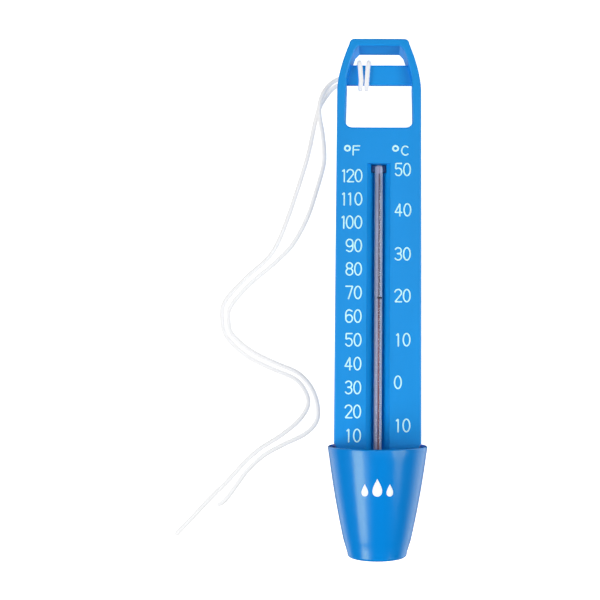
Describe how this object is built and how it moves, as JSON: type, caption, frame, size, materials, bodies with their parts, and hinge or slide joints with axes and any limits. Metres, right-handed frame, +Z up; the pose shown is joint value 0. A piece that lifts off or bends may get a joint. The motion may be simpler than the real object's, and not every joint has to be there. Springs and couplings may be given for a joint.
{
  "type": "floating pool thermometer",
  "caption": "Flat floating pool thermometer with a glass spirit tube in a channel, a tapered scoop cup at the foot and a hanging handle with a hitched white cord.",
  "frame": {"origin": "on the ground, under the centre of the thermometer's box, cord left out", "axes": "+Y along the thermometer from the cup to the handle, +Z up, towards the scale's reader; the tube's axis drops 4.2 degrees towards the handle"},
  "size_m": [0.1306, 0.2603, 0.0492],
  "materials": {
    "case_blue": "moulded, semi-gloss",
    "cup_blue": "moulded, high gloss",
    "foam": "closed-cell foam",
    "tube_glass": "clear drawn glass",
    "white_enamel": "white enamel and print",
    "red_spirit": "dyed spirit",
    "soft_rubber": "dark blue rubber",
    "white_cord": "braided white polyester"
  },
  "bodies": {
    "thermometer": {"front_shell": "case_blue", "rear_cover": "case_blue", "scoop_cup": "cup_blue", "float_foam_left": "foam", "float_foam_right": "foam", "glass_stem": "tube_glass", "glass_bulb": "tube_glass", "enamel_strip": "white_enamel", "spirit_column": "red_spirit", "bulb_spirit": "red_spirit", "upper_tube_cushion": "soft_rubber", "lower_tube_cushion": "soft_rubber", "cord_hitch": "white_cord", "cord_tail_long": "white_cord", "cord_tail_short": "white_cord"},
    "spirit_thread": {"spirit_thread_top": "red_spirit"}
  },
  "joints": [
    {"name": "spirit_rise", "type": "slide", "parent": "thermometer", "child": "spirit_thread", "axis": [0, 0.9973, -0.0733], "range_m": [-0.062, 0.058], "deforming": ["spirit_column"]}
  ]
}
